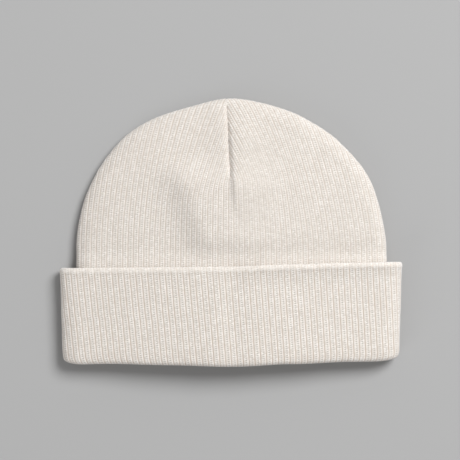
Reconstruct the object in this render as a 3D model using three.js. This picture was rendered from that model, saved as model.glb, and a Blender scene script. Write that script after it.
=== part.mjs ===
// Cuffed rib-knit beanie, lying flat on its back with the mouth towards -Y.
// Millimetres: X runs across the cap, Y from the mouth to the crown, Z up from the floor.
//
// The cap is one rib-knit tube. Its mouth is turned up outside as a deep cuff, and its top is
// gathered into four wedges: a dart runs up the front and one up the back, and the front and
// back wales meet along the two side edges. Each shape is worked out from the wales: a place
// round the tube is a wale number from 0 to 120, counted from the middle of the front.

import * as THREE from 'three';

// Outline of the open crown: its reach from the dome's centre, by degrees from upright
const DOME_START_Y = -12;
const OUTLINE = [
  { angle: -90, reach: 101.2 },
  { angle: -60, reach: 101.4 },
  { angle: -45, reach: 101.6 },
  { angle: -15, reach: 97.4 },
  { angle: 0, reach: 99.1 },
  { angle: 15, reach: 98.2 },
  { angle: 30, reach: 98.8 },
  { angle: 45, reach: 100.1 },
  { angle: 62, reach: 101.9 },
  { angle: 78, reach: 101.2 },
  { angle: 90, reach: 101.8 },
];

// Cuff outline, with the height of its two edges in a row for each place across the cap
const CUFF_HALF_WIDTH_AT_TOP = 111.8;
const CUFF_HALF_WIDTH_AT_HEM = 109.9;
const CUFF_EDGES = [
  { x: -111, hem: -87.2, top: -23.9 },
  { x: -78, hem: -86.2, top: -23.6 },
  { x: -40, hem: -86.9, top: -23.3 },
  { x: 0, hem: -87.9, top: -22.8 },
  { x: 40, hem: -86.2, top: -21.4 },
  { x: 78, hem: -84.9, top: -20.4 },
  { x: 111, hem: -84.7, top: -19.9 },
];
const HEM_CORNER = { rise: 1.5, reach: 9, pull: 2.5, height: 6 };

// Knit
const RIBS_AROUND = 120;
const RIBS_TO_SIDE = RIBS_AROUND / 4;
const RIB_RELIEF = 0.5;
const WALL = 2.6;
const GAP = 0.3;

// Side folds: a tight arc at the edge, then a wide one that is FOLD_SPREAD larger in radius
const QUARTER_TURN = Math.PI / 2;
const CUFF_FOLD_RADIUS = 6.3;
const CROWN_FOLD_RADIUS = CUFF_FOLD_RADIUS - WALL - GAP;
const FOLD_TURN = THREE.MathUtils.degToRad(65);
const FOLD_SPREAD = 14.6;

// Swell of the loose front between the folds, with a crease up the cuff's middle
const CUFF_SWELL = { rise: 8, power: 1.5 };
const CUFF_CREASE = { x: 2, depth: 0.8, width: 7 };
const CROWN_SWELL = { rise: 6.5, power: 3 };
const SWELL_SETTLES_IN = 20;

// Turned hem: the wall doubles back inside the cuff and ends in a lip under the crown
const HEM_THICKNESS = 2 * WALL + GAP;
const LIP_HEIGHT = 9;
const SEAT_GAP = 0.6;

// The cuff's front dips to the hem and lifts to its top edge, more on the right
const HEM_DROP = { depth: 1.3, height: 10 };
const EDGE_LIFT = { left: 0.2, right: 2.4, from: -10, to: 35, height: 6.5 };

// The cuff's ribs drift sideways as they rise, as a share of the height
const CUFF_RIB_DRIFT = -0.079;

// Dart up the middle of the front, and its copy on the back
const DART_RIBS = 7.5;
const DART_START = { x: -0.3, y: 32.8 };
const DART_END_ANGLE = -1.7;
const DART_DEPTH = 2.4;
const DART_LIP = { left: 1.1, right: 2.8 };
const DART_FADE = 7;

// How the wales bend on each side: those that end on the dart bend late, the far ones early
const LEFT_BEND = { side: -1, startY: 20, power: 1.2, farTravel: 16.2, farPower: 1.86 };
const RIGHT_BEND = { side: 1, startY: 34, power: 1.3, farTravel: 26, farPower: 1.6 };
const FAR_RIBS = 16;

// Soft folds in the front, each along a line, with its width to either side
const SOFT_FOLDS = [
  { name: 'left of middle', x0: -6, y0: -26, x1: -29, y1: 40, rise: 6, left: 15, right: 55 },
  { name: 'right of dart', x0: 4, y0: 18, x1: 0, y1: 72, rise: 2.6, left: 2.5, right: 18 },
  { name: 'left of dart', x0: -3, y0: 36, x1: -5, y1: 80, rise: 1, left: 9, right: 3 },
];
const FOLD_END_FADE = 12;

// Facets: shares of a wale's height under the cuff, to just below its top, and in the open, then
// ribs from the middle of a face to its side
const COVERED_ROWS = [0, 0.5];
const COVERED_END = -1;
const OPEN_ROWS = [0, 0.13, 0.3, 0.5, 0.69, 0.82, 0.895, 0.94, 0.972, 1];
const RIBBED_STEP = 0.5;
const PLAIN_RIBS = [0, 2.5, 5, 7.5, 10, 13, 16, 20, 24, 26, 27, 28, 28.5, 29, 29.5, 30];

function mix(a, b, share) {
  return a + (b - a) * share;
}

function clampShare(share) {
  return Math.min(Math.max(share, 0), 1);
}

function smooth(from, to, value) {
  const share = clampShare((value - from) / (to - from));
  return share * share * (3 - 2 * share);
}

// Value of one column at a place, eased between the rows of a table
function betweenRows(rows, key, place, column) {
  let index = 1;
  while (index < rows.length - 1 && place > rows[index][key]) {
    index += 1;
  }
  const before = rows[index - 1];
  const after = rows[index];
  return mix(before[column], after[column], smooth(before[key], after[key], place));
}

function cuffEdge(x, column) {
  return betweenRows(CUFF_EDGES, 'x', x, column);
}

function outlineReach(angle) {
  return betweenRows(OUTLINE, 'angle', angle, 'reach');
}

function cuffHalfWidth(share) {
  return mix(CUFF_HALF_WIDTH_AT_HEM, CUFF_HALF_WIDTH_AT_TOP, share);
}

// The hem's corners are pulled in along a quarter round
function cornerPull(aboveHem) {
  const below = 1 - clampShare(aboveHem / HEM_CORNER.height);
  return HEM_CORNER.pull * (1 - Math.sqrt(1 - below * below));
}

function cuffSwell(x) {
  const crease = Math.exp(-(((x - CUFF_CREASE.x) / CUFF_CREASE.width) ** 2));
  const share = Math.max(1 - (x / CUFF_HALF_WIDTH_AT_TOP) ** 2, 0);
  return CUFF_SWELL.rise * share ** CUFF_SWELL.power - CUFF_CREASE.depth * crease;
}

function cuffEdgeRise(x, aboveHem, belowTop) {
  const dip = HEM_DROP.depth * (1 - clampShare(aboveHem / HEM_DROP.height)) ** 2;
  const lift = mix(EDGE_LIFT.left, EDGE_LIFT.right, smooth(EDGE_LIFT.from, EDGE_LIFT.to, x));
  return lift * Math.exp(-((belowTop / EDGE_LIFT.height) ** 2)) - dip;
}

// Quarter of the tube that a wale number falls in: its side, its face and ribs from the middle
function tubePlace(wale) {
  const turn = ((wale % RIBS_AROUND) + RIBS_AROUND) % RIBS_AROUND;
  const side = turn <= 2 * RIBS_TO_SIDE ? 1 : -1;
  const half = side > 0 ? turn : RIBS_AROUND - turn;
  const face = half <= RIBS_TO_SIDE ? 1 : -1;
  const ribs = face > 0 ? half : 2 * RIBS_TO_SIDE - half;
  return { side, face, ribs };
}

// The knit rolls round a side fold. From the length of cloth to the fold's outermost line this
// gives the distance in from the fold's edge, the rise above its middle, and how far it has turned.
function rollOver(length, radius, inset) {
  const tight = radius * FOLD_TURN;
  const wide = (radius + FOLD_SPREAD) * (QUARTER_TURN - FOLD_TURN);
  const spread = length > tight ? FOLD_SPREAD : 0;
  const second = clampShare((length - tight) / wide) * (QUARTER_TURN - FOLD_TURN);
  const angle = Math.min(length / radius, FOLD_TURN) + second;
  const along = radius + spread - inset;
  const flatLength = Math.max(length - tight - wide, 0);
  return {
    inward: radius + spread * Math.cos(FOLD_TURN) - along * Math.cos(angle) + flatLength,
    up: along * Math.sin(angle) - spread * Math.sin(FOLD_TURN),
    turned: Math.sin(angle),
  };
}

// Rise of the flat cloth above the middle of its side fold
function foldHeight(radius) {
  return radius + FOLD_SPREAD * (1 - Math.sin(FOLD_TURN));
}

// How much longer the cloth of a side fold is than the fold is wide
function foldExcess(radius) {
  const spreadExcess = FOLD_SPREAD * (QUARTER_TURN - FOLD_TURN - Math.cos(FOLD_TURN));
  return radius * (QUARTER_TURN - 1) + spreadExcess;
}

const FLAT_GROW = foldExcess(CROWN_FOLD_RADIUS);

// Distance from the dome's centre to its outline on the cloth laid flat
function domeReach(x, up) {
  return outlineReach(THREE.MathUtils.radToDeg(Math.atan2(x, up))) + FLAT_GROW;
}

function flatHalfWidth(side) {
  return outlineReach(90 * side) + FLAT_GROW;
}

// The dart's end on the outline of the cloth laid flat
const DART_END_REACH = outlineReach(DART_END_ANGLE) + FLAT_GROW;
const DART_END_TURN = THREE.MathUtils.degToRad(DART_END_ANGLE);
const DART_END_X = DART_END_REACH * Math.sin(DART_END_TURN);
const DART_END_Y = DOME_START_Y + DART_END_REACH * Math.cos(DART_END_TURN);

function dartX(y) {
  return mix(DART_START.x, DART_END_X, (y - DART_START.y) / (DART_END_Y - DART_START.y));
}

// How far the dart's groove is open at a height, from 0 to 1
function dartOpen(y) {
  const opens = smooth(DART_START.y, DART_START.y + DART_FADE, y);
  return opens * (1 - smooth(DART_END_Y - 1.5 * DART_FADE, DART_END_Y - 0.5 * DART_FADE, y));
}

function dartGroove(x, y) {
  const off = x - dartX(y);
  const lip = off < 0 ? DART_LIP.left : DART_LIP.right;
  return DART_DEPTH * dartOpen(y) * Math.exp(-Math.abs(off) / lip);
}

function softFold(fold, x, y) {
  const share = (y - fold.y0) / (fold.y1 - fold.y0);
  const offset = x - mix(fold.x0, fold.x1, share);
  const width = offset < 0 ? fold.left : fold.right;
  const starts = smooth(fold.y0 - FOLD_END_FADE, fold.y0 + FOLD_END_FADE, y);
  const ends = 1 - smooth(fold.y1 - FOLD_END_FADE, fold.y1 + FOLD_END_FADE, y);
  return fold.rise * starts * ends * Math.exp(-((offset / width) ** 2));
}

// Rise of the open crown's front, where outward is 0 at the middle and 1 at the outline
function crownSwell(x, y, outward) {
  let rise = CROWN_SWELL.rise * (1 - outward ** CROWN_SWELL.power);
  for (const fold of SOFT_FOLDS) {
    rise += softFold(fold, x, y);
  }
  return rise - dartGroove(x, y);
}

// Under the cuff the crown's tube spreads until it lies against the cuff at the hem
function straightHalfWidth(side, y) {
  const hem = cuffEdge(side * CUFF_HALF_WIDTH_AT_TOP, 'hem');
  const top = cuffEdge(side * CUFF_HALF_WIDTH_AT_TOP, 'top');
  const share = clampShare((y - hem) / (top - hem));
  const against = cuffHalfWidth(share) - WALL - GAP;
  return mix(outlineReach(90 * side), against, 1 - share);
}

function crownMiddleZ(x, y) {
  const open = smooth(cuffEdge(x, 'top'), DOME_START_Y, y);
  return mix(foldHeight(CUFF_FOLD_RADIUS), foldHeight(CROWN_FOLD_RADIUS), open);
}

function flatReach(side, y) {
  return straightHalfWidth(side, y) + FLAT_GROW;
}

// Point of the crown, from its place on the cloth laid flat, its face and its depth in the wall
function crownPoint(flatX, flatY, face, inset, relief) {
  const up = Math.max(flatY - DOME_START_Y, 0);
  const length = Math.hypot(flatX, up);
  const reach = up > 0 ? domeReach(flatX, up) : flatReach(Math.sign(flatX), flatY);
  const rim = Math.max(reach - length, 0);
  const turned = rollOver(rim, CROWN_FOLD_RADIUS, 0).turned;
  const pressed = face < 0 ? turned : 0;
  const roll = rollOver(rim, CROWN_FOLD_RADIUS, inset + relief * (1 - pressed));
  const shrink = length > 0 ? (reach - FLAT_GROW - roll.inward) / length : 1;
  const x = flatX * shrink;
  const y = up > 0 ? DOME_START_Y + up * shrink : flatY;
  const middle = crownMiddleZ(flatX, flatY);
  if (face < 0) {
    return new THREE.Vector3(x, y, middle - roll.up + dartGroove(flatX, flatY) * turned);
  }
  const top = cuffEdge(flatX, 'top');
  const open = smooth(top, top + SWELL_SETTLES_IN, flatY);
  const rise = mix(cuffSwell(x), crownSwell(flatX, flatY, Math.min(length / reach, 1)), open);
  return new THREE.Vector3(x, y, middle + roll.up + rise * turned);
}

// Height at which a wale of the dart's wedge ends on the dart
function dartEndOf(ribs) {
  return mix(DART_START.y, DART_END_Y, Math.min(ribs / DART_RIBS, 1));
}

// Sideways travel, by a height, of the wales that are far from the dart
function farTravel(bend, y) {
  const rise = Math.max((y - DOME_START_Y) / (DART_END_Y - DOME_START_Y), 0);
  return bend.farTravel * rise ** bend.farPower;
}

// Sideways place of a wale of the open crown on the cloth laid flat
function waleX(bend, ribs, y) {
  const pitch = flatHalfWidth(bend.side) / RIBS_TO_SIDE;
  const last = Math.min(ribs, DART_RIBS);
  const endY = dartEndOf(ribs);
  const far = Math.min(ribs / FAR_RIBS, 1);
  const outer = clampShare((ribs - last) / (FAR_RIBS - DART_RIBS));
  const travel = mix(last * pitch - bend.side * dartX(endY), bend.farTravel, outer);
  const startY = mix(DART_START.y - 1, bend.startY, last / DART_RIBS);
  const nearRise = Math.max((y - startY) / (endY - startY), 0);
  const hook = travel - far * farTravel(bend, endY);
  const shift = hook * nearRise ** bend.power + far * farTravel(bend, y);
  return bend.side * (ribs * pitch - shift);
}

// Height at which a wale runs out, on the dart or on the outline of the cloth laid flat
function waleEnd(bend, ribs) {
  if (ribs <= DART_RIBS) {
    return dartEndOf(ribs);
  }
  let inside = DOME_START_Y;
  let outside = DOME_START_Y + DART_END_REACH + 1;
  while (outside - inside > 1e-7) {
    const y = (inside + outside) / 2;
    const x = waleX(bend, ribs, y);
    const up = y - DOME_START_Y;
    if (Math.hypot(x, up) < domeReach(x, up)) {
      inside = y;
    } else {
      outside = y;
    }
  }
  return inside;
}

// Columns of a ring as wale numbers: every half rib, or the few that a plain wall needs
const ribbedColumns = [];
for (let wale = 0; wale < RIBS_AROUND; wale += RIBBED_STEP) {
  ribbedColumns.push(wale);
}
const plainColumns = [];
for (let quarter = 0; quarter < 4; quarter += 1) {
  const rising = quarter % 2 === 0;
  const ribs = rising ? PLAIN_RIBS : PLAIN_RIBS.map((rib) => RIBS_TO_SIDE - rib).reverse();
  ribs.slice(0, -1).forEach((rib) => plainColumns.push(quarter * RIBS_TO_SIDE + rib));
}

// Ribs stand out on every whole wale number, with a groove half way between
function ribRelief(wale) {
  return wale % 1 === 0 ? 0 : RIB_RELIEF;
}

function crownRing(columns, row, inset) {
  return columns.map((wale) => {
    const { side, face, ribs } = tubePlace(wale);
    const bend = side > 0 ? RIGHT_BEND : LEFT_BEND;
    const startX = side * (ribs / RIBS_TO_SIDE) * flatHalfWidth(side);
    const baseY = cuffEdge(startX, 'hem') + LIP_HEIGHT + SEAT_GAP;
    const cuffY = cuffEdge(startX, 'top') + COVERED_END;
    const from = row.covered ? baseY : cuffY;
    const to = row.covered ? cuffY : waleEnd(bend, ribs);
    const y = mix(from, to, row.share);
    const spread = y < DOME_START_Y ? flatReach(side, y) / flatHalfWidth(side) : 1;
    const flatX = waleX(bend, ribs, y) * spread;
    const relief = columns === ribbedColumns ? ribRelief(wale) : 0;
    return { wale, point: crownPoint(flatX, y, face, inset, relief) };
  });
}

// Section of the cuff from its top edge down the outside, round the hem and up the inside.
// A row's height is measured from one edge; the hem's rounded corners lift the rows marked so.
const CUFF_SECTION = [
  { edge: 'top', offset: -0.1, inset: 1.6 },
  { edge: 'top', offset: -0.3, inset: 0.7, ribbed: true, level: true },
  { edge: 'top', offset: -1.2, inset: 0, ribbed: true, level: true },
  { edge: 'top', offset: -2.5, inset: -0.25, ribbed: true, level: true },
  { edge: 'top', offset: -4.8, inset: 0, ribbed: true },
  { edge: 'top', offset: -13, inset: 0, ribbed: true },
  { edge: 'hem', offset: 10, inset: 0, ribbed: true },
  { edge: 'hem', offset: HEM_THICKNESS / 2, inset: 0, ribbed: true, corner: true },
  { edge: 'hem', offset: 0.8, inset: 0.8, ribbed: true, corner: true },
  { edge: 'hem', offset: 0, inset: HEM_THICKNESS / 2, ribbed: true, corner: true },
  { edge: 'hem', offset: 0.8, inset: HEM_THICKNESS - 0.8, corner: true },
  { edge: 'hem', offset: HEM_THICKNESS / 2, inset: HEM_THICKNESS, corner: true },
  { edge: 'hem', offset: LIP_HEIGHT, inset: HEM_THICKNESS },
  { edge: 'hem', offset: LIP_HEIGHT, inset: WALL },
  { edge: 'top', offset: -1.3, inset: WALL },
];

function cuffRing(row) {
  const columns = row.ribbed ? ribbedColumns : plainColumns;
  const middleZ = foldHeight(CUFF_FOLD_RADIUS);
  const middleHem = cuffEdge(0, 'hem');
  const middleTop = cuffEdge(0, 'top');
  const level = row.offset + (row.edge === 'top' ? middleTop : middleHem);
  const share = (level - middleHem) / (middleTop - middleHem);
  const pull = row.corner ? cornerPull(row.offset) : 0;
  const halfWidth = cuffHalfWidth(share) - pull;
  const flatHalf = halfWidth + foldExcess(CUFF_FOLD_RADIUS);
  const pitch = flatHalf / RIBS_TO_SIDE;
  const drift = row.ribbed ? (CUFF_RIB_DRIFT * (share - 0.5) * (middleTop - middleHem)) / pitch : 0;
  return columns.map((wale) => {
    const { side, face, ribs } = tubePlace(wale + drift);
    const rim = (RIBS_TO_SIDE - ribs) * pitch;
    const turned = rollOver(rim, CUFF_FOLD_RADIUS, 0).turned;
    const pressed = face < 0 ? turned : 0;
    const relief = row.ribbed && !row.level ? ribRelief(wale) : 0;
    const raised = (Math.min(row.inset, 0) + relief) * (1 - pressed);
    const roll = rollOver(rim, CUFF_FOLD_RADIUS, Math.max(row.inset, 0) + raised);
    const x = side * (halfWidth - roll.inward);
    const lift = row.corner ? HEM_CORNER.rise * Math.exp(-((rim / HEM_CORNER.reach) ** 2)) : 0;
    const y = cuffEdge(side * ribs * pitch, row.edge) + row.offset + lift;
    const rise = cuffSwell(x) + cuffEdgeRise(x, level - middleHem, middleTop - level);
    const swell = face > 0 ? rise * turned : 0;
    return { wale, point: new THREE.Vector3(x, y, middleZ + face * roll.up + swell) };
  });
}

// Triangles between two closed rings, walking round both in step with the wale numbers
function bridge(lower, upper, addTriangle) {
  const next = (ring, i) => ring[(i + 1) % ring.length];
  const waleAfter = (ring, i) => (i + 1 < ring.length ? ring[i + 1].wale : RIBS_AROUND);
  let low = 0;
  let high = 0;
  while (low < lower.length || high < upper.length) {
    const lowFirst = high >= upper.length ||
      (low < lower.length && waleAfter(lower, low) <= waleAfter(upper, high));
    const lowPoint = lower[low % lower.length].point;
    const highPoint = upper[high % upper.length].point;
    if (lowFirst) {
      addTriangle(lowPoint, next(lower, low).point, highPoint);
      low += 1;
    } else {
      addTriangle(lowPoint, next(upper, high).point, highPoint);
      high += 1;
    }
  }
}

function meshFromRings(name, rings, closed, colour, roughness) {
  const positions = [];
  const addTriangle = (a, b, c) => {
    for (const point of [a, b, c]) {
      positions.push(point.x, point.y, point.z);
    }
  };
  for (let i = 1; i < rings.length; i += 1) {
    bridge(rings[i - 1], rings[i], addTriangle);
  }
  if (closed) {
    bridge(rings[rings.length - 1], rings[0], addTriangle);
  }
  const geometry = new THREE.BufferGeometry();
  geometry.setAttribute('position', new THREE.Float32BufferAttribute(positions, 3));
  geometry.computeVertexNormals();
  const material = new THREE.MeshStandardMaterial({ color: colour, roughness, metalness: 0 });
  const mesh = new THREE.Mesh(geometry, material);
  mesh.name = name;
  return mesh;
}

function makeCrown() {
  const rows = [
    ...COVERED_ROWS.map((share) => ({ share, covered: true })),
    ...OPEN_ROWS.map((share) => ({ share, covered: false })),
  ];
  const inside = rows.map((row) => crownRing(plainColumns, row, WALL)).reverse();
  const outside = rows.map((row) => crownRing(ribbedColumns, row, 0));
  return meshFromRings('crown', [...inside, ...outside], false, '#e3dcd5', 0.95);
}

function makeCuff() {
  const rings = CUFF_SECTION.map((row) => cuffRing(row)).reverse();
  return meshFromRings('cuff', rings, true, '#e5ded6', 0.95);
}

// The part's origin is under the middle of its bounding box
const group = new THREE.Group();
group.add(makeCrown(), makeCuff());
const middle = new THREE.Box3().setFromObject(group).getCenter(new THREE.Vector3());
for (const mesh of group.children) {
  mesh.position.set(-middle.x, -middle.y, 0);
}

export default group;
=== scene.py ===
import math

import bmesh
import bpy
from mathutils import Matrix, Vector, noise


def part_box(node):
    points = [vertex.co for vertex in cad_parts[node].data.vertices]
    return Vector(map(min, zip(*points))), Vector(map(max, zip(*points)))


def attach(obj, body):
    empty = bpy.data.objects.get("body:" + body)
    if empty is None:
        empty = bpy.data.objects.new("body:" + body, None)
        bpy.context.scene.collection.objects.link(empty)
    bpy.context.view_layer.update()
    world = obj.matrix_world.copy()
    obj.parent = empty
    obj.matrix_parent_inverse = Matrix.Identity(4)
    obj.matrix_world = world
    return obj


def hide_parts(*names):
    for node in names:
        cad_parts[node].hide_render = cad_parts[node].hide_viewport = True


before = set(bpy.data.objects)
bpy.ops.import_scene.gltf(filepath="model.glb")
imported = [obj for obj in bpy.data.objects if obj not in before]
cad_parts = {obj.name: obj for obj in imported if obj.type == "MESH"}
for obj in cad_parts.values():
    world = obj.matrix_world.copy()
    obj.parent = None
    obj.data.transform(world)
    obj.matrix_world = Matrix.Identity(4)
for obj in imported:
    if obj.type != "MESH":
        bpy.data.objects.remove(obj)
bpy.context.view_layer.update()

# Cuffed rib-knit beanie, lying flat on its back and seen straight from above.
# The shape functions work in millimetres on the same sizes as the frame's own source. A place
# round the knitted tube is a wale number from 0 to 120, counted from the middle of the front.

MM = 0.001
SEAM_REACH = 0.001
QUARTER_TURN = math.pi / 2

# Outline of the open crown: its reach from the dome's centre, by degrees from upright
DOME_START_Y = -12.0
OUTLINE = [
    {"angle": -90, "reach": 101.2},
    {"angle": -60, "reach": 101.4},
    {"angle": -45, "reach": 101.6},
    {"angle": -15, "reach": 97.4},
    {"angle": 0, "reach": 99.1},
    {"angle": 15, "reach": 98.2},
    {"angle": 30, "reach": 98.8},
    {"angle": 45, "reach": 100.1},
    {"angle": 62, "reach": 101.9},
    {"angle": 78, "reach": 101.2},
    {"angle": 90, "reach": 101.8},
]

# Cuff: half widths, then the height of the hem and of the top edge across the cap
CUFF_HALF_WIDTH_AT_TOP = 111.8
CUFF_HALF_WIDTH_AT_HEM = 109.9
CUFF_EDGES = [
    {"x": -111.0, "hem": -87.2, "top": -23.9},
    {"x": -78.0, "hem": -86.2, "top": -23.6},
    {"x": -40.0, "hem": -86.9, "top": -23.3},
    {"x": 0.0, "hem": -87.9, "top": -22.8},
    {"x": 40.0, "hem": -86.2, "top": -21.4},
    {"x": 78.0, "hem": -84.9, "top": -20.4},
    {"x": 111.0, "hem": -84.7, "top": -19.9},
]
HEM_CORNER = {"rise": 1.5, "reach": 9.0, "pull": 2.5, "height": 6.0}

# Knit: the wall, and the relief of its ribs. Places across a rib are in ribs from its middle.
RIBS_AROUND = 120
RIBS_TO_SIDE = RIBS_AROUND / 4
RIB_RELIEF = 0.24
RIB_SHOULDER = 0.3
VALLEY_DEPTH = 0.03
VALLEY_HALF = 0.22
INSIDE_RELIEF = 0.5
INSIDE_GROOVE = {"full": 0.1, "ends": 0.4}
WALL = 2.6
GAP = 0.3

# Stitches: each rib is one wale of V stitches, one to a course, with two slanting legs.
# Neighbouring ribs are out of step by up to ROW_SHIFT courses, and stitches show less on the
# open crown, which is a little stretched, so less shade is painted into them there.
COURSE = 1.45
LEG_AT = 0.22
LEG_HALF = 0.2
LEG_SLANT = 0.8
LEG_LOW = 0.4
GROOVE = {"from": 0.35, "to": 0.48}
HOLE = {"full": 0.08, "ends": 0.2}
STITCH_BODY = {"full": 0.28, "ends": 0.42}
ROW_SHIFT = 1.0
CROWN_SHOWN = 0.6
LEAST_SHOWN = 0.3

# Yarn: how strongly each tone and each painted shade comes in, and its unevenness in millimetres
TONE_SHARE = 0.5
TUCK_SHADE_SHARE = 0.2
STRETCHED_SHADE_SHARE = 0.24
FUZZ_LENGTH = 10 / 9
FUZZ_FADE = {"from": 0.3, "to": 0.7}
YARN_LENGTH = 100 / 9
STITCH_HEIGHT = 0.14
STITCH_BUMP = 0.8
SCATTER_DEPTH = 1.8

# Side folds: a tight arc at the edge, then a wide one that is FOLD_SPREAD larger in radius
CUFF_FOLD_RADIUS = 6.3
CROWN_FOLD_RADIUS = CUFF_FOLD_RADIUS - WALL - GAP
FOLD_TURN = math.radians(65)
FOLD_SPREAD = 14.6

# Swell of the loose front
CUFF_SWELL = {"rise": 8.0, "power": 1.5}
CROWN_SWELL = {"rise": 6.5, "power": 3}
SWELL_SETTLES_IN = 20.0
CUFF_CREASE = {"x": 2.0, "depth": 0.8, "width": 7.0}

# Turned hem and the lip inside it
HEM_THICKNESS = 2 * WALL + GAP
LIP_HEIGHT = 9.0
SEAT_GAP = 0.6

HEM_DROP = {"depth": 1.3, "height": 10.0}

# Rolled bead along the cuff's top edge, and the lift of the knit below it, more on the right
BEAD_FOOT = 4.8
BEAD_RIBS_END = 4.6
BEAD_RELIEF = 0.25
BEAD_POWER = 1.2
BEAD_TURN = 2.5
BEAD_RIBS = 0.15
BEAD_LIFT = {"left": 0.2, "right": 2.4, "from": -10, "to": 35, "height": 6.5}

CUFF_RIB_DRIFT = -0.079

# Dart
DART_RIBS = 7.5
DART_START = {"x": -0.3, "y": 32.8}
DART_END_ANGLE = -1.7
DART_DEPTH = 2.4
DART_LIP = {"left": 1.1, "right": 2.8}
DART_FADE = 7.0

# How the wales bend on each side: those that end on the dart bend late, the far ones early
LEFT_BEND = {"side": -1, "start_y": 20.0, "power": 1.2, "far_travel": 16.2, "far_power": 1.86}
RIGHT_BEND = {"side": 1, "start_y": 34.0, "power": 1.3, "far_travel": 26.0, "far_power": 1.6}
FAR_RIBS = 16

# Soft folds in the front, each along a line, with its width to either side: the one left of the
# middle, then one on each side of the dart
SOFT_FOLDS = [
    {"x0": -6, "y0": -26, "x1": -29, "y1": 40, "rise": 6.0, "left": 15, "right": 55},
    {"x0": 4, "y0": 18, "x1": 0, "y1": 72, "rise": 2.6, "left": 2.5, "right": 18},
    {"x0": -3, "y0": 36, "x1": -5, "y1": 80, "rise": 1.0, "left": 9, "right": 3},
]
FOLD_END_FADE = 12.0

# Where the knit is stretched its ribs are flatter. Beside the dart they are flatter on its left
# and stand out on its right.
STRETCHED = [
    {"x": 16, "y": 28, "across": 15, "along": 32, "share": 0.15},
    {"x": 62, "y": -8, "across": 55, "along": 34, "share": 0.75},
]
STRETCHED_POWER = 1.5
DART_RELIEF = {"left": 0.4, "right": 2.4, "width": 4.5}

# Height of the open crown's start below the cuff's top edge
COVERED_BY = 1.0

# Fineness of the finished knit
COLUMNS = RIBS_AROUND * 8
OPEN_ROWS = 56
OPEN_ROW_POWER = 1.35
COVERED_ROWS = 6
INSIDE_ROWS = 26
CUFF_HEM_ROW = 13
HEM_STEPS = 12
BEAD_STEPS = 8
ROWS_ABOVE_HEM = (4, 5.5, 7.5, 10, 12.5, 15, 17.5, 20, 22.5, 25, 27.5, 30)
ROWS_BELOW_TOP = (-32, -29.5, -27, -24.5, -22, -19.5, -17, -14.5, -12, -10, -8, -6, -5)
WANDER = {"size": 0.05, "per_rib": 0.45, "length": 14.0, "slice": 2.3, "fade_power": 6}
PUCKER = {"size": 0.16, "per_rib": 0.55, "length": 9.0, "slice": 8.1}

# The floor's half width in metres, and how far it lies below zero in millimetres
FLOOR_HALF = 3.0
FLOOR_DROP = 0.2

# The camera looks straight down; one photo pixel is 0.65 mm at the cap's front
PHOTO_PIXEL = 0.65
PHOTO_SIZE = 460
PHOTO_MIDDLE = (230.0, 230.0)
CAP_MIDDLE = (231.0, 232.0)
CAP_FRONT_Z = 16.0
CAMERA_DISTANCE = 1500.0
SENSOR = 36.0


def mix(a, b, share):
    return a + (b - a) * share


def clamp_share(share):
    return min(max(share, 0.0), 1.0)


def smooth(low, high, value):
    share = clamp_share((value - low) / (high - low))
    return share * share * (3 - 2 * share)


# Shape of the cap


def between_rows(rows, key, place, column):
    """Value of one column, eased between the rows of a table."""
    index = 1
    while index < len(rows) - 1 and place > rows[index][key]:
        index += 1
    before = rows[index - 1]
    after = rows[index]
    return mix(before[column], after[column], smooth(before[key], after[key], place))


def cuff_edge(x, column):
    return between_rows(CUFF_EDGES, "x", x, column)


def outline_reach(angle):
    return between_rows(OUTLINE, "angle", angle, "reach")


def cuff_half_width(share):
    return mix(CUFF_HALF_WIDTH_AT_HEM, CUFF_HALF_WIDTH_AT_TOP, share)


def corner_pull(above_hem):
    below = 1 - clamp_share(above_hem / HEM_CORNER["height"])
    return HEM_CORNER["pull"] * (1 - math.sqrt(1 - below * below))


def cuff_swell(x):
    crease = math.exp(-(((x - CUFF_CREASE["x"]) / CUFF_CREASE["width"]) ** 2))
    share = max(1 - (x / CUFF_HALF_WIDTH_AT_TOP) ** 2, 0)
    return CUFF_SWELL["rise"] * share ** CUFF_SWELL["power"] - CUFF_CREASE["depth"] * crease


def cuff_edge_rise(x, above_hem, below_top):
    """The cuff's front dips to the hem and lifts to its top edge."""
    dip = HEM_DROP["depth"] * (1 - clamp_share(above_hem / HEM_DROP["height"])) ** 2
    across = smooth(BEAD_LIFT["from"], BEAD_LIFT["to"], x)
    lift = mix(BEAD_LIFT["left"], BEAD_LIFT["right"], across)
    return lift * math.exp(-((below_top / BEAD_LIFT["height"]) ** 2)) - dip


def tube_place(wale):
    """Side, face and ribs from the middle of the face, for a wale number."""
    turn = wale % RIBS_AROUND
    side = 1 if turn <= 2 * RIBS_TO_SIDE else -1
    half = turn if side > 0 else RIBS_AROUND - turn
    face = 1 if half <= RIBS_TO_SIDE else -1
    ribs = half if face > 0 else 2 * RIBS_TO_SIDE - half
    return side, face, ribs


def roll_over(length, radius, inset):
    """Distance in from a side fold's edge, rise above its middle, and how far the knit has turned."""
    tight = radius * FOLD_TURN
    wide = (radius + FOLD_SPREAD) * (QUARTER_TURN - FOLD_TURN)
    spread = FOLD_SPREAD if length > tight else 0
    second = clamp_share((length - tight) / wide) * (QUARTER_TURN - FOLD_TURN)
    angle = min(length / radius, FOLD_TURN) + second
    along = radius + spread - inset
    flat_length = max(length - tight - wide, 0)
    inward = radius + spread * math.cos(FOLD_TURN) - along * math.cos(angle) + flat_length
    lift = along * math.sin(angle) - spread * math.sin(FOLD_TURN)
    return inward, lift, math.sin(angle)


def fold_height(radius):
    """Rise of the flat cloth above the middle of its side fold."""
    return radius + FOLD_SPREAD * (1 - math.sin(FOLD_TURN))


def fold_excess(radius):
    """How much longer the cloth of a side fold is than the fold is wide."""
    return radius * (QUARTER_TURN - 1) + FOLD_SPREAD * (QUARTER_TURN - FOLD_TURN - math.cos(FOLD_TURN))


FLAT_GROW = fold_excess(CROWN_FOLD_RADIUS)


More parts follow.
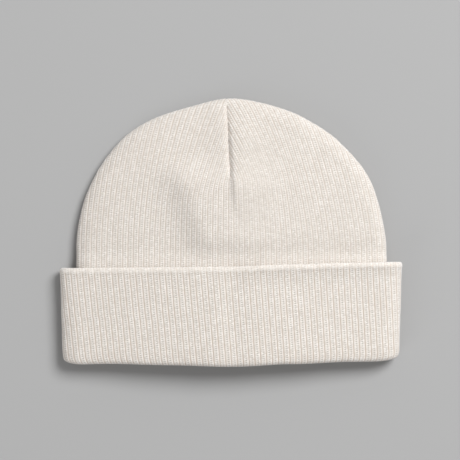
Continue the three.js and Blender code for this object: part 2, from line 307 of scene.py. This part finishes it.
def dome_reach(x, up):
    """Distance from the dome's centre to its outline on the cloth laid flat."""
    return outline_reach(math.degrees(math.atan2(x, up))) + FLAT_GROW


def flat_half_width(side):
    return outline_reach(90 * side) + FLAT_GROW


DART_END_REACH = outline_reach(DART_END_ANGLE) + FLAT_GROW
DART_END_X = DART_END_REACH * math.sin(math.radians(DART_END_ANGLE))
DART_END_Y = DOME_START_Y + DART_END_REACH * math.cos(math.radians(DART_END_ANGLE))


def dart_x(y):
    return mix(DART_START["x"], DART_END_X, (y - DART_START["y"]) / (DART_END_Y - DART_START["y"]))


def dart_open(y):
    """How far the dart's groove is open at a height, from 0 to 1."""
    opens = smooth(DART_START["y"], DART_START["y"] + DART_FADE, y)
    return opens * (1 - smooth(DART_END_Y - 1.5 * DART_FADE, DART_END_Y - 0.5 * DART_FADE, y))


def dart_groove(x, y):
    off = x - dart_x(y)
    lip = DART_LIP["left"] if off < 0 else DART_LIP["right"]
    return DART_DEPTH * dart_open(y) * math.exp(-abs(off) / lip)


def soft_fold(fold, x, y):
    share = (y - fold["y0"]) / (fold["y1"] - fold["y0"])
    offset = x - mix(fold["x0"], fold["x1"], share)
    width = fold["left"] if offset < 0 else fold["right"]
    starts = smooth(fold["y0"] - FOLD_END_FADE, fold["y0"] + FOLD_END_FADE, y)
    ends = 1 - smooth(fold["y1"] - FOLD_END_FADE, fold["y1"] + FOLD_END_FADE, y)
    return fold["rise"] * starts * ends * math.exp(-((offset / width) ** 2))


def crown_swell(x, y, outward):
    """Rise of the open crown's front, where outward is 0 at the middle and 1 at the outline."""
    swell = CROWN_SWELL["rise"] * (1 - outward ** CROWN_SWELL["power"])
    folds = sum(soft_fold(fold, x, y) for fold in SOFT_FOLDS)
    return swell + folds - dart_groove(x, y)


def straight_half_width(side, y):
    hem = cuff_edge(side * CUFF_HALF_WIDTH_AT_TOP, "hem")
    top = cuff_edge(side * CUFF_HALF_WIDTH_AT_TOP, "top")
    share = clamp_share((y - hem) / (top - hem))
    against = cuff_half_width(share) - WALL - GAP
    return mix(outline_reach(90 * side), against, 1 - share)


def crown_middle_z(x, y):
    opened = smooth(cuff_edge(x, "top"), DOME_START_Y, y)
    return mix(fold_height(CUFF_FOLD_RADIUS), fold_height(CROWN_FOLD_RADIUS), opened)


def flat_reach(side, y):
    return straight_half_width(side, y) + FLAT_GROW


def crown_point(flat_x, flat_y, face, inset):
    """Point of the crown from its place on the cloth laid flat and its depth in the wall."""
    up = max(flat_y - DOME_START_Y, 0)
    length = math.hypot(flat_x, up)
    reach = dome_reach(flat_x, up) if up > 0 else flat_reach(math.copysign(1, flat_x), flat_y)
    inward, lift, turned = roll_over(max(reach - length, 0), CROWN_FOLD_RADIUS, inset)
    shrink = (reach - FLAT_GROW - inward) / length if length > 0 else 1
    x = flat_x * shrink
    y = DOME_START_Y + up * shrink if up > 0 else flat_y
    middle = crown_middle_z(flat_x, flat_y)
    if face < 0:
        return Vector((x, y, middle - lift + dart_groove(flat_x, flat_y) * turned))
    top = cuff_edge(flat_x, "top")
    opened = smooth(top, top + SWELL_SETTLES_IN, flat_y)
    rise = mix(cuff_swell(x), crown_swell(flat_x, flat_y, min(length / reach, 1)), opened)
    return Vector((x, y, middle + lift + rise * turned))


def dart_end_of(ribs):
    return mix(DART_START["y"], DART_END_Y, min(ribs / DART_RIBS, 1))


def wale_x(bend, ribs, y):
    """Sideways place of a wale of the open crown on the cloth laid flat."""
    pitch = flat_half_width(bend["side"]) / RIBS_TO_SIDE
    last = min(ribs, DART_RIBS)
    end_y = dart_end_of(ribs)
    far = min(ribs / FAR_RIBS, 1)
    outer = clamp_share((ribs - last) / (FAR_RIBS - DART_RIBS))
    travel = mix(last * pitch - bend["side"] * dart_x(end_y), bend["far_travel"], outer)
    start_y = mix(DART_START["y"] - 1, bend["start_y"], last / DART_RIBS)
    near_rise = max((y - start_y) / (end_y - start_y), 0)
    hook = travel - far * far_travel(bend, end_y)
    shift = hook * near_rise ** bend["power"] + far * far_travel(bend, y)
    return bend["side"] * (ribs * pitch - shift)


def far_travel(bend, y):
    """Sideways travel, by a height, of the wales that are far from the dart."""
    rise = max((y - DOME_START_Y) / (DART_END_Y - DOME_START_Y), 0)
    return bend["far_travel"] * rise ** bend["far_power"]


def wale_end(bend, ribs):
    """Height at which a wale runs out, on the dart or on the outline."""
    if ribs <= DART_RIBS:
        return dart_end_of(ribs)
    inside = DOME_START_Y
    outside = DOME_START_Y + DART_END_REACH + 1
    while outside - inside > 1e-7:
        y = (inside + outside) / 2
        up = y - DOME_START_Y
        x = wale_x(bend, ribs, y)
        if math.hypot(x, up) < dome_reach(x, up):
            inside = y
        else:
            outside = y
    return inside


# Relief of the ribs


def rib_relief(wale):
    """Depth below the ribs' crests: a shallow valley down each rib and a groove between ribs."""
    off = abs(wale - round(wale))
    groove = RIB_RELIEF * smooth(RIB_SHOULDER, 0.5, off)
    return groove + VALLEY_DEPTH * (1 - smooth(0, VALLEY_HALF, off))


def inside_relief(wale):
    off = abs(wale - round(wale))
    return INSIDE_RELIEF * (1 - smooth(INSIDE_GROOVE["full"], INSIDE_GROOVE["ends"], off))


def relief_share(x, y):
    """How strongly the crown's ribs stand out at a place, against 1 where they lie loose."""
    share = 1.0
    for patch in STRETCHED:
        away = ((x - patch["x"]) / patch["across"]) ** 2 + ((y - patch["y"]) / patch["along"]) ** 2
        share *= mix(1, patch["share"], math.exp(-(away**STRETCHED_POWER)))
    off = x - dart_x(y)
    beside = DART_RELIEF["left"] if off < 0 else DART_RELIEF["right"]
    return share * mix(1, beside, dart_open(y) * math.exp(-abs(off) / DART_RELIEF["width"]))


def uneven(kind, side, ribs, y):
    place = Vector((side * ribs * kind["per_rib"], y / kind["length"], kind["slice"]))
    return kind["size"] * noise.noise(place)


def wander(side, ribs, y):
    """Small sideways drift of a rib along its length, in ribs."""
    return uneven(WANDER, side, ribs, y)


def pucker(side, ribs, y):
    """Small uneven rise of the knit from rib to rib, in millimetres."""
    return uneven(PUCKER, side, ribs, y)


def crown_rows():
    """Rows of the crown's section, from the inside of the top down, round and up the outside."""
    rows = []
    for i in range(INSIDE_ROWS + 1):
        share = 1 - (i / INSIDE_ROWS) ** OPEN_ROW_POWER
        rows.append({"share": share, "covered": False, "inside": True})
    for i in range(1, COVERED_ROWS + 1):
        rows.append({"share": 1 - i / COVERED_ROWS, "covered": True, "inside": True})
    for i in range(COVERED_ROWS):
        rows.append({"share": i / COVERED_ROWS, "covered": True, "inside": False})
    for i in range(OPEN_ROWS + 1):
        share = 1 - (1 - i / OPEN_ROWS) ** OPEN_ROW_POWER
        rows.append({"share": share, "covered": False, "inside": False})
    return rows


def crown_place(wale, row):
    """Point of the crown for a wale and a row, then how far its stitches show and it is stretched."""
    side, face, ribs = tube_place(wale)
    bend = RIGHT_BEND if side > 0 else LEFT_BEND
    start_x = side * ribs / RIBS_TO_SIDE * flat_half_width(side)
    base_y = cuff_edge(start_x, "hem") + LIP_HEIGHT + SEAT_GAP
    cuff_y = cuff_edge(start_x, "top") - COVERED_BY
    low = base_y if row["covered"] else cuff_y
    high = cuff_y if row["covered"] else column_end(side, ribs)
    y = mix(low, high, row["share"])
    spread = flat_reach(side, y) / flat_half_width(side) if y < DOME_START_Y else 1
    flat_x = wale_x(bend, ribs, y) * spread
    if row["inside"]:
        return crown_point(flat_x, y, face, WALL - inside_relief(wale)), (1, 0)
    drift = wander(side, ribs, y) * (1 - row["share"] ** WANDER["fade_power"])
    stand = relief_share(flat_x, y)
    inset = rib_relief(wale + drift) * stand - pucker(side, ribs, y)
    shown = CROWN_SHOWN * min(stand, 1)
    return crown_point(flat_x, y, face, inset), (shown, 1 - shown)


column_ends = {}


def column_end(side, ribs):
    if (side, ribs) not in column_ends:
        column_ends[side, ribs] = wale_end(RIGHT_BEND if side > 0 else LEFT_BEND, ribs)
    return column_ends[side, ribs]


def cuff_rows():
    """Rows of the cuff's section, from inside its top edge down, round the hem and up outside."""
    rows = [
        {"edge": "top", "offset": -1.6, "inset": WALL, "inside": True},
        {"edge": "top", "offset": -20, "inset": WALL, "inside": True},
        {"edge": "hem", "offset": 30, "inset": WALL, "inside": True},
        {"edge": "hem", "offset": LIP_HEIGHT, "inset": WALL, "inside": True},
        {"edge": "hem", "offset": LIP_HEIGHT, "inset": HEM_THICKNESS - 0.4, "inside": True},
        {"edge": "hem", "offset": LIP_HEIGHT - 0.5, "inset": HEM_THICKNESS, "inside": True},
        {"edge": "hem", "offset": 6.5, "inset": HEM_THICKNESS, "inside": True, "corner": True},
    ]
    turn = HEM_THICKNESS / 2
    for i in range(HEM_STEPS + 1):
        angle = math.pi * i / HEM_STEPS
        offset = turn * (1 - math.sin(angle))
        inset = turn * (1 + math.cos(angle))
        rows.append({"edge": "hem", "offset": offset, "inset": inset, "corner": True})
    for offset in ROWS_ABOVE_HEM:
        corner = offset < HEM_CORNER["height"]
        rows.append({"edge": "hem", "offset": offset, "inset": 0, "corner": corner})
    for offset in ROWS_BELOW_TOP:
        rows.append({"edge": "top", "offset": offset, "inset": 0})
    for i in range(BEAD_STEPS + 1):
        angle = QUARTER_TURN * i / BEAD_STEPS
        rise = BEAD_RELIEF * math.sin(angle) ** BEAD_POWER
        offset = mix(-BEAD_FOOT, -BEAD_TURN, i / BEAD_STEPS)
        rows.append({"edge": "top", "offset": offset, "inset": -rise})
    for i in range(1, BEAD_STEPS):
        angle = math.pi * i / BEAD_STEPS
        offset = -BEAD_TURN + BEAD_TURN * math.sin(angle)
        inset = mix(-BEAD_RELIEF, WALL, (1 - math.cos(angle)) / 2)
        rows.append({"edge": "top", "offset": offset, "inset": inset})
    rows.append(dict(rows[0]))
    return rows


def cuff_place(wale, row):
    """Point of the cuff for a wale and a row, then how far its stitches show and it is stretched."""
    middle_hem = cuff_edge(0, "hem")
    middle_top = cuff_edge(0, "top")
    level = row["offset"] + (middle_top if row["edge"] == "top" else middle_hem)
    share = (level - middle_hem) / (middle_top - middle_hem)
    pull = corner_pull(row["offset"]) if row.get("corner") else 0
    half_width = cuff_half_width(share) - pull
    flat_half = half_width + fold_excess(CUFF_FOLD_RADIUS)
    pitch = flat_half / RIBS_TO_SIDE
    drift = CUFF_RIB_DRIFT * (share - 0.5) * (middle_top - middle_hem) / pitch
    side, face, ribs = tube_place(wale + drift)
    rim = (RIBS_TO_SIDE - ribs) * pitch
    stand = mix(BEAD_RIBS, 1, smooth(BEAD_TURN, BEAD_RIBS_END, middle_top - level))
    if row.get("inside"):
        relief = -inside_relief(wale)
    else:
        relief = rib_relief(wale + wander(side, ribs, level)) * stand - pucker(side, ribs, level)
    turned = roll_over(rim, CUFF_FOLD_RADIUS, 0)[2]
    pressed = turned if face < 0 else 0
    inset = max(row["inset"], 0) + min(row["inset"], 0) * (1 - pressed) + relief
    inward, lift, turned = roll_over(rim, CUFF_FOLD_RADIUS, inset)
    x = side * (half_width - inward)
    corner = HEM_CORNER["rise"] * math.exp(-((rim / HEM_CORNER["reach"]) ** 2))
    raise_corner = corner if row.get("corner") else 0
    y = cuff_edge(side * ribs * pitch, row["edge"]) + row["offset"] + raise_corner
    swell = cuff_swell(x) + cuff_edge_rise(x, level - middle_hem, middle_top - level)
    middle = fold_height(CUFF_FOLD_RADIUS)
    return Vector((x, y, middle + face * lift + (swell * turned if face > 0 else 0))), (stand, 0)


# Making the pieces

frame_shift = Vector((0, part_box("crown")[1][1] / MM - DOME_START_Y - outline_reach(0), 0))


def knit_tube(name, node, rows, place, start_row):
    """A grid of wales by rows, rolled into the tube, with courses counted from one row.

    Its "knit" map holds the wale and the length along it, and its "stand" map holds how far the
    stitches show and how far the knit is stretched.
    """
    tube = bmesh.new()
    bmesh.ops.create_grid(tube, x_segments=COLUMNS, y_segments=len(rows) - 1, size=1)
    knit_map = tube.loops.layers.uv.new("knit")
    stand_map = tube.loops.layers.uv.new("stand")
    wales = {}
    lengths = {}
    stands = {}
    columns = {}
    for vert in tube.verts:
        wale = (vert.co.x + 1) / 2 * RIBS_AROUND
        row = round((vert.co.y + 1) / 2 * (len(rows) - 1))
        wales[vert] = wale
        columns.setdefault(round(wale * COLUMNS / RIBS_AROUND), {})[row] = vert
    for column in columns.values():
        length = 0.0
        before = None
        for row in range(len(rows)):
            vert = column[row]
            point, stands[vert] = place(wales[vert], rows[row])
            if before is not None:
                length += (point - before).length
            lengths[vert] = length
            before = point
            vert.co = (point + frame_shift) * MM
        courses_start = lengths[column[start_row]]
        for vert in column.values():
            lengths[vert] -= courses_start
    for face in tube.faces:
        face.smooth = True
        for loop in face.loops:
            loop[knit_map].uv = (wales[loop.vert], lengths[loop.vert])
            loop[stand_map].uv = stands[loop.vert]
    bmesh.ops.remove_doubles(tube, verts=tube.verts, dist=SEAM_REACH * MM)
    mesh = bpy.data.meshes.new(name)
    tube.to_mesh(mesh)
    tube.free()
    piece = bpy.data.objects.new(name, mesh)
    bpy.context.scene.collection.objects.link(piece)
    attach(piece, "root")
    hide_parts(node)
    return piece


# Materials


def linear(code):
    """Linear colour from an sRGB hex code."""
    values = [int(code[i:i + 2], 16) / 255 for i in (1, 3, 5)]
    return [v / 12.92 if v <= 0.04045 else ((v + 0.055) / 1.055) ** 2.4 for v in values] + [1]


def add_node(tree, kind, inputs=None, **settings):
    """A node with its settings, and its inputs set or linked."""
    made = tree.nodes.new(kind)
    for name, value in settings.items():
        setattr(made, name, value)
    for socket, value in (inputs or {}).items():
        if isinstance(value, bpy.types.NodeSocket):
            tree.links.new(value, made.inputs[socket])
        else:
            made.inputs[socket].default_value = value
    return made


def wool_rib_knit():
    """Soft-spun ivory wool in a 1 by 1 rib: matt, faintly fuzzy and uneven from stitch to stitch, with
    shade painted into its tucks, holes and grooves.
    """
    material = bpy.data.materials.new("ivory wool rib knit")
    material.use_nodes = True
    tree = material.node_tree
    tree.nodes.clear()

    def math_node(operation, a, b=0.0, clamp=False):
        made = add_node(tree, "ShaderNodeMath", {0: a, 1: b}, operation=operation, use_clamp=clamp)
        return made.outputs[0]

    def fade(value, low, high):
        inputs = {0: value, 1: low, 2: high}
        return add_node(tree, "ShaderNodeMapRange", inputs, interpolation_type="SMOOTHSTEP").outputs[0]

    def blend(share, first, second):
        made = add_node(tree, "ShaderNodeMix", {0: share, 6: first, 7: second}, data_type="RGBA")
        return made.outputs[2]

    stand_place = add_node(tree, "ShaderNodeUVMap", uv_map="stand")
    stand_parts = add_node(tree, "ShaderNodeSeparateXYZ", {0: stand_place.outputs["UV"]})
    stand = stand_parts.outputs["X"]
    place = add_node(tree, "ShaderNodeUVMap", uv_map="knit")
    parts = add_node(tree, "ShaderNodeSeparateXYZ", {0: place.outputs["UV"]})
    rib_number = math_node("ROUND", parts.outputs["X"])
    rib_noise = add_node(tree, "ShaderNodeTexWhiteNoise", {"W": rib_number}, noise_dimensions="1D")
    even_courses = math_node("DIVIDE", parts.outputs["Y"], COURSE)
    courses = math_node("ADD", even_courses, math_node("MULTIPLY", rib_noise.outputs[0], ROW_SHIFT))

    # Across a rib: a leg of yarn on each side of its middle, and the groove to the next rib
    off = math_node("PINGPONG", parts.outputs["X"], 0.5)
    from_leg = math_node("DIVIDE", math_node("SUBTRACT", off, LEG_AT), LEG_HALF)
    leg = math_node("SUBTRACT", 1.0, math_node("MULTIPLY", from_leg, from_leg), clamp=True)
    groove = fade(off, GROOVE["from"], GROOVE["to"])
    middle = math_node("SUBTRACT", 1.0, fade(off, HOLE["full"], HOLE["ends"]))
    body = math_node("SUBTRACT", 1.0, fade(off, STITCH_BODY["full"], STITCH_BODY["ends"]))

    # Along a rib: the legs slant to a V in each course, with a small hole where they meet
    slanted = math_node("SUBTRACT", courses, math_node("MULTIPLY", off, LEG_SLANT))
    loop = math_node("ABSOLUTE", math_node("SINE", math_node("MULTIPLY", slanted, math.pi)))
    beat = math_node("COSINE", math_node("MULTIPLY", courses, 2 * math.pi))
    hole = math_node("MULTIPLY", middle, math_node("MAXIMUM", beat, 0.0))
    shown = math_node("ADD", math_node("MULTIPLY", stand, 1 - LEAST_SHOWN), LEAST_SHOWN)
    # Mask for painted shade between the loops, where a stitch tucks under the next
    between_loops = math_node("SUBTRACT", 1.0, loop)
    tuck_shade = math_node("MULTIPLY", between_loops, math_node("MULTIPLY", body, shown))

    # Each leg of each stitch has a tone of its own
    leg_number = math_node("FLOOR", math_node("MULTIPLY", parts.outputs["X"], 2.0))
    stitch = add_node(tree, "ShaderNodeCombineXYZ", {0: leg_number, 1: math_node("FLOOR", courses)})
    tone_inputs = {"Vector": stitch.outputs[0]}
    tone = add_node(tree, "ShaderNodeTexWhiteNoise", tone_inputs, noise_dimensions="2D").outputs[0]

    # Fibres: short fuzz all over, and slow unevenness of the yarn
    space = add_node(tree, "ShaderNodeTexCoord").outputs["Object"]
    fuzz_inputs = {"Vector": space, "Scale": 1 / (FUZZ_LENGTH * MM), "Detail": 3.0}
    fuzz = add_node(tree, "ShaderNodeTexNoise", fuzz_inputs).outputs["Fac"]
    yarn_inputs = {"Vector": space, "Scale": 1 / (YARN_LENGTH * MM), "Detail": 2.0}
    yarn = add_node(tree, "ShaderNodeTexNoise", yarn_inputs).outputs["Fac"]

    # Height of the stitches: round legs, the holes between them, and the fuzz
    along_leg = math_node("ADD", math_node("MULTIPLY", loop, 1 - LEG_LOW), LEG_LOW)
    yarn_round = math_node("MULTIPLY", leg, along_leg)
    height = math_node("ADD", math_node("SUBTRACT", yarn_round, hole), fuzz)
    bump_inputs = {"Strength": STITCH_BUMP, "Distance": STITCH_HEIGHT * MM, "Height": height}
    bump = add_node(tree, "ShaderNodeBump", bump_inputs)

    # Colour of the yarn, with painted shade where a stitch tucks under the next, in the holes where
    # the legs meet and down in the grooves
    crest = blend(yarn, linear("#f7f3ef"), linear("#f0ebe6"))
    spun = blend(fade(fuzz, FUZZ_FADE["from"], FUZZ_FADE["to"]), linear("#e7e1da"), crest)
    loops = blend(math_node("MULTIPLY", tone, TONE_SHARE), spun, linear("#d3ccc4"))
    # Painted shade where a stitch tucks under the next
    tuck_shaded = blend(math_node("MULTIPLY", tuck_shade, TUCK_SHADE_SHARE), loops, linear("#a09a93"))
    # Painted shade in the small hole where the legs meet
    hole_shaded = blend(math_node("MULTIPLY", hole, shown), tuck_shaded, linear("#b9b2aa"))
    # Painted shade down in the groove between ribs
    groove_shaded = blend(math_node("MULTIPLY", groove, shown), hole_shaded, linear("#cabdb1"))

    # Where the knit is stretched, painted shade darkens it, for its shaded inside showing between the
    # stitches
    stretched = math_node("MULTIPLY", stand_parts.outputs["Y"], STRETCHED_SHADE_SHARE)
    colour = blend(stretched, groove_shaded, linear("#b5aca2"))
    shader = add_node(
        tree,
        "ShaderNodeBsdfPrincipled",
        {
            "Base Color": colour,
            "Roughness": 0.92,
            "Subsurface Weight": 0.9,
            "Subsurface Radius": (1.0, 1.0, 1.0),
            "Subsurface Scale": SCATTER_DEPTH * MM,
            "Specular IOR Level": 0.2,
            "Sheen Weight": 0.2,
            "Sheen Roughness": 0.5,
            "Normal": bump.outputs[0],
        },
    )
    add_node(tree, "ShaderNodeOutputMaterial", {"Surface": shader.outputs[0]})
    return material


def painted_board():
    """Matt grey board under the cap."""
    material = bpy.data.materials.new("matt painted board")
    material.use_nodes = True
    shader = material.node_tree.nodes["Principled BSDF"]
    shader.inputs["Base Color"].default_value = linear("#adadad")
    shader.inputs["Roughness"].default_value = 0.9
    shader.inputs["Specular IOR Level"].default_value = 0.1
    return material


# The cap

crown = knit_tube("knit_crown", "crown", crown_rows(), crown_place, INSIDE_ROWS + COVERED_ROWS)
cuff = knit_tube("knit_cuff", "cuff", cuff_rows(), cuff_place, CUFF_HEM_ROW)
knit = wool_rib_knit()
for piece in (crown, cuff):
    piece.data.materials.append(knit)


# Floor, light and camera


def make_floor():
    board = bmesh.new()
    bmesh.ops.create_grid(board, x_segments=1, y_segments=1, size=FLOOR_HALF)
    bmesh.ops.translate(board, verts=board.verts, vec=(0, 0, -FLOOR_DROP * MM))
    mesh = bpy.data.meshes.new("floor")
    board.to_mesh(mesh)
    board.free()
    mesh.materials.append(painted_board())
    floor = bpy.data.objects.new("floor", mesh)
    bpy.context.scene.collection.objects.link(floor)


def add_light(name, place, size, energy):
    lamp = bpy.data.lights.new(name, "AREA")
    lamp.shape = "DISK"
    lamp.size = size
    lamp.energy = energy
    holder = bpy.data.objects.new(name, lamp)
    holder.location = place
    holder.rotation_euler = Vector(place).to_track_quat("Z", "Y").to_euler()
    bpy.context.scene.collection.objects.link(holder)


def add_camera():
    lens = bpy.data.cameras.new("camera")
    lens.sensor_width = SENSOR
    lens.lens = SENSOR * CAMERA_DISTANCE / (PHOTO_SIZE * PHOTO_PIXEL)
    camera = bpy.data.objects.new("camera", lens)
    aim_x = (PHOTO_MIDDLE[0] - CAP_MIDDLE[0]) * PHOTO_PIXEL
    aim_y = (CAP_MIDDLE[1] - PHOTO_MIDDLE[1]) * PHOTO_PIXEL
    camera.location = Vector((aim_x, aim_y, CAP_FRONT_Z + CAMERA_DISTANCE)) * MM
    bpy.context.scene.collection.objects.link(camera)
    bpy.context.scene.camera = camera


make_floor()
add_light("key softbox", place=(1.36, 1.36, 2.29), size=1.5, energy=87.5)
add_light("fill softbox", place=(-1.5, -1.7, 0.95), size=1.5, energy=10.0)
add_camera()

world = bpy.data.worlds.new("soft room")
world.use_nodes = True
room = world.node_tree.nodes["Background"]
room.inputs["Color"].default_value = linear("#ffffff")
room.inputs["Strength"].default_value = 0.37
bpy.context.scene.world = world
bpy.context.scene.view_settings.view_transform = "Standard"
